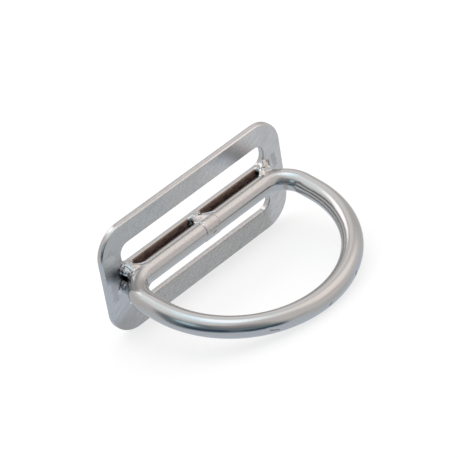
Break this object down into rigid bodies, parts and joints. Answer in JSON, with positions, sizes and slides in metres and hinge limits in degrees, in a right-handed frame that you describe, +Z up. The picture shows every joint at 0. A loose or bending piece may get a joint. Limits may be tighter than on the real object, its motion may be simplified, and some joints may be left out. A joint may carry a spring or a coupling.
{
  "type": "webbing keeper d ring",
  "caption": "Flat keeper plate with long webbing slots, and a D bent from round rod welded upright along its middle bar.",
  "frame": {"origin": "middle of the footprint, on the surface that the piece lies on: the plate's lower long edge and the nose of the D", "axes": "+X along the plate's long side, -Y the way the D points, +Z up"},
  "size_m": [0.0676, 0.052, 0.0337],
  "materials": {
    "stainless": "satin stainless steel, stamped and tumbled plate with drawn rod and bright weld metal, heat tinted at the welds"
  },
  "bodies": {
    "root": {"welded_d_ring": "stainless"}
  },
  "joints": []
}
